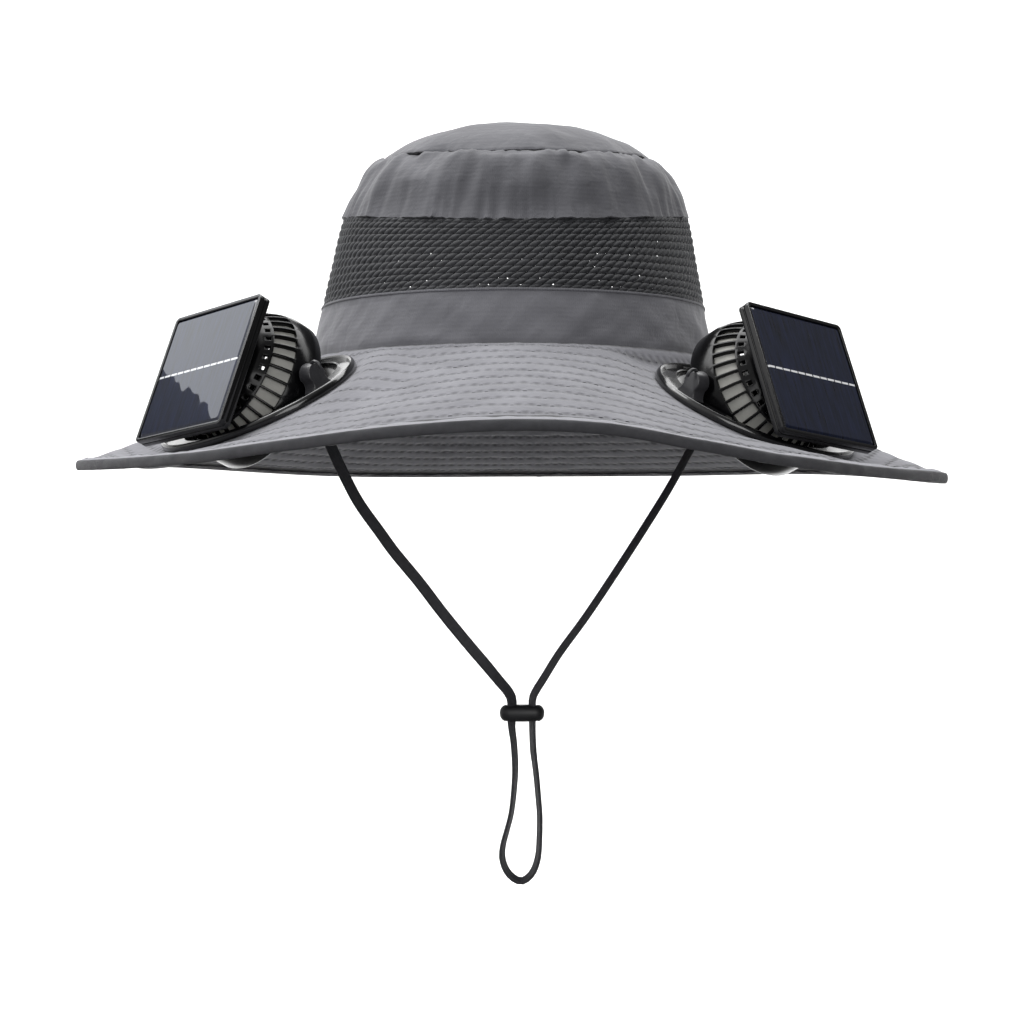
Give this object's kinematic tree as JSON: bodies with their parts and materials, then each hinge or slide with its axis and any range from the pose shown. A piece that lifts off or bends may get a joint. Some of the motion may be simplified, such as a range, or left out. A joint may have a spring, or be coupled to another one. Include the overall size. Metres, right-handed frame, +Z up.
{
  "type": "solar fan hat",
  "caption": "Sun hat with a vented crown, a wide stitched brim, tilting fans with solar panels and a chin strap with a sliding toggle.",
  "frame": {"origin": "centre of the head opening, where the crown meets the brim", "axes": "+Z up through the crown, -Y towards the wearer's front, +X towards the viewer's right of the hat seen from the front"},
  "size_m": [0.3686, 0.3998, 0.3284],
  "materials": {
    "crown_cloth": "plain woven polyester, lightly crumpled",
    "air_mesh": "open knitted mesh",
    "quilted_cloth": "rows of stitching round the brim",
    "binding_tape": "folded woven tape",
    "gloss_black": "polished moulding",
    "matte_black": "fine moulded texture",
    "impeller_black": "satin moulding",
    "solar_glass": "dark cell under clear cover",
    "webbing": "narrow woven ribbon"
  },
  "bodies": {
    "hat": {"crown_lower": "crown_cloth", "crown_mesh": "air_mesh", "crown_upper": "crown_cloth", "crown_top": "crown_cloth", "brim": "quilted_cloth", "brim_binding": "binding_tape", "bezel_left": "gloss_black", "bezel_right": "gloss_black", "clamp_ring_left": "matte_black", "clamp_ring_right": "matte_black", "chin_strap": "webbing", "cord_toggle": "matte_black"},
    "fan_left": {"fan_housing_left": "gloss_black", "front_grille_left": "matte_black", "solar_frame_left": "gloss_black", "solar_cell_left": "solar_glass"},
    "impeller_left": {"impeller_left": "impeller_black"},
    "fan_right": {"fan_housing_right": "gloss_black", "front_grille_right": "matte_black", "solar_frame_right": "gloss_black", "solar_cell_right": "solar_glass"},
    "impeller_right": {"impeller_right": "impeller_black"}
  },
  "joints": [
    {"name": "fan_tilt_left", "type": "hinge", "parent": "hat", "child": "fan_left", "pos_m": [-0.09989, -0.09061, -0.01853], "axis": [-0.7032, 0.7032, -0.1045], "range_deg": [-2, 36]},
    {"name": "impeller_spin_left", "type": "hinge", "parent": "fan_left", "child": "impeller_left", "pos_m": [-0.09989, -0.09061, -0.01853], "axis": [-0.6721, -0.6096, 0.4203], "continuous": true},
    {"name": "fan_tilt_right", "type": "hinge", "parent": "hat", "child": "fan_right", "pos_m": [0.09599, -0.09028, -0.02139], "axis": [-0.7506, -0.6525, 0.1045], "range_deg": [-2, 36]},
    {"name": "impeller_spin_right", "type": "hinge", "parent": "fan_right", "child": "impeller_right", "pos_m": [0.09599, -0.09028, -0.02139], "axis": [0.6279, -0.655, 0.4203], "continuous": true}
  ]
}
